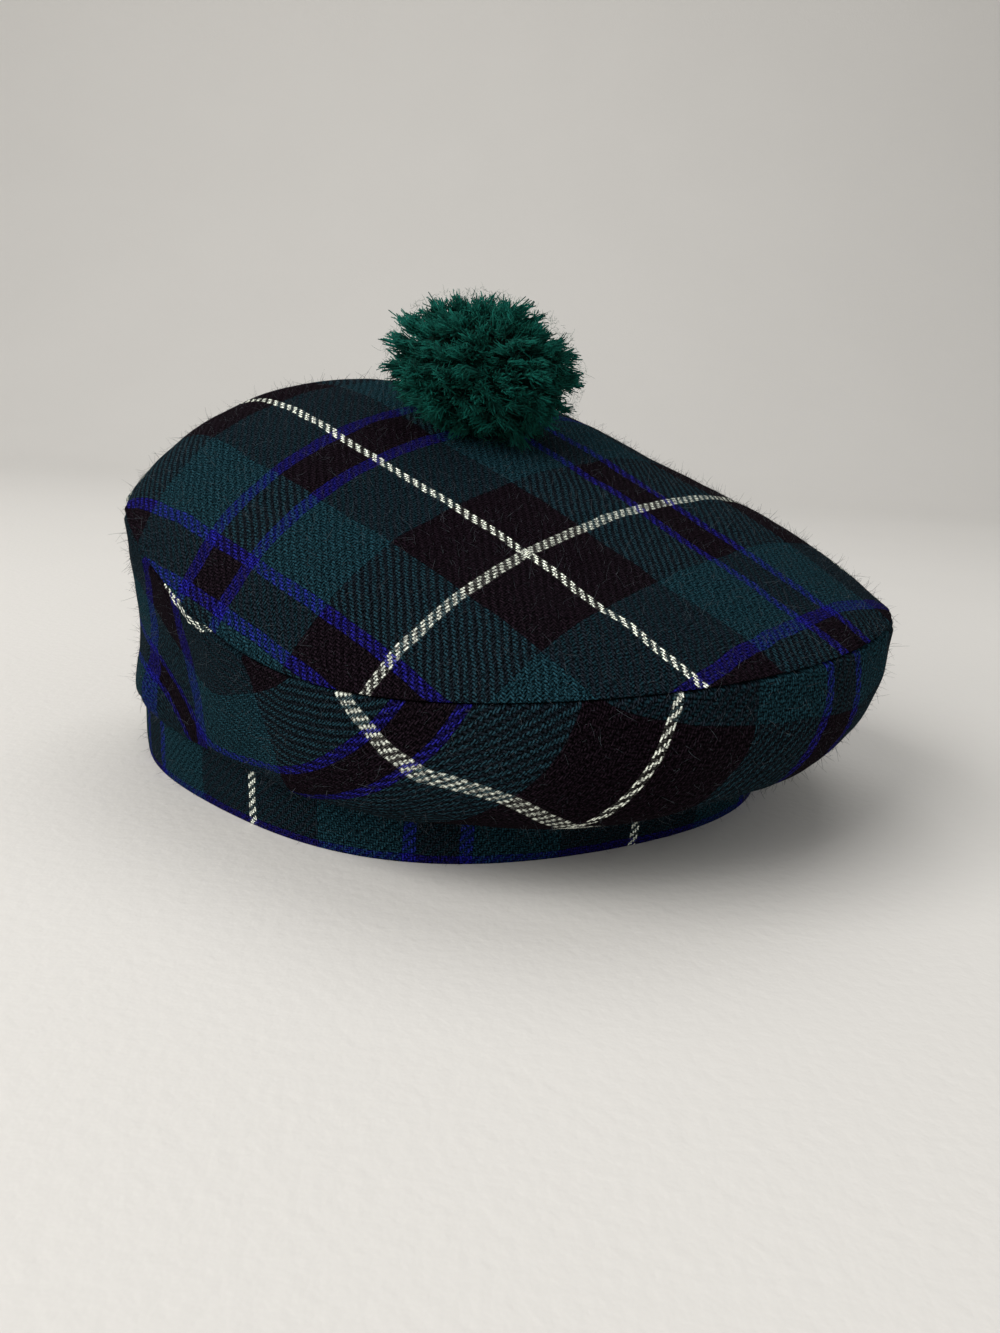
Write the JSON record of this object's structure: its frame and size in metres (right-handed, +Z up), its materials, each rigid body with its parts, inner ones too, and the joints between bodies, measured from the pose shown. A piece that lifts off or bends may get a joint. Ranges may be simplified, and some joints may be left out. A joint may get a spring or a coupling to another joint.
{
  "type": "tam o shanter",
  "caption": "Soft wool tam with a wide leaning crown, a sagging underside, a narrow headband to wear it by and a yarn pompom.",
  "frame": {"origin": "the middle of the hat's box, at the level of the headband's lower edge, on which the hat rests", "axes": "+Z up, -Y towards the front of the hat as pictured, +X to the side that the crown overhangs most"},
  "size_m": [0.2362, 0.2126, 0.1483],
  "materials": {
    "wool_tartan": "brushed wool twill in green, blue and black tartan with white lines",
    "green_yarn": "cut wool yarn"
  },
  "bodies": {
    "root": {"crown_top": "wool_tartan", "crown_underside": "wool_tartan", "headband": "wool_tartan", "pompom": "green_yarn"}
  },
  "joints": []
}
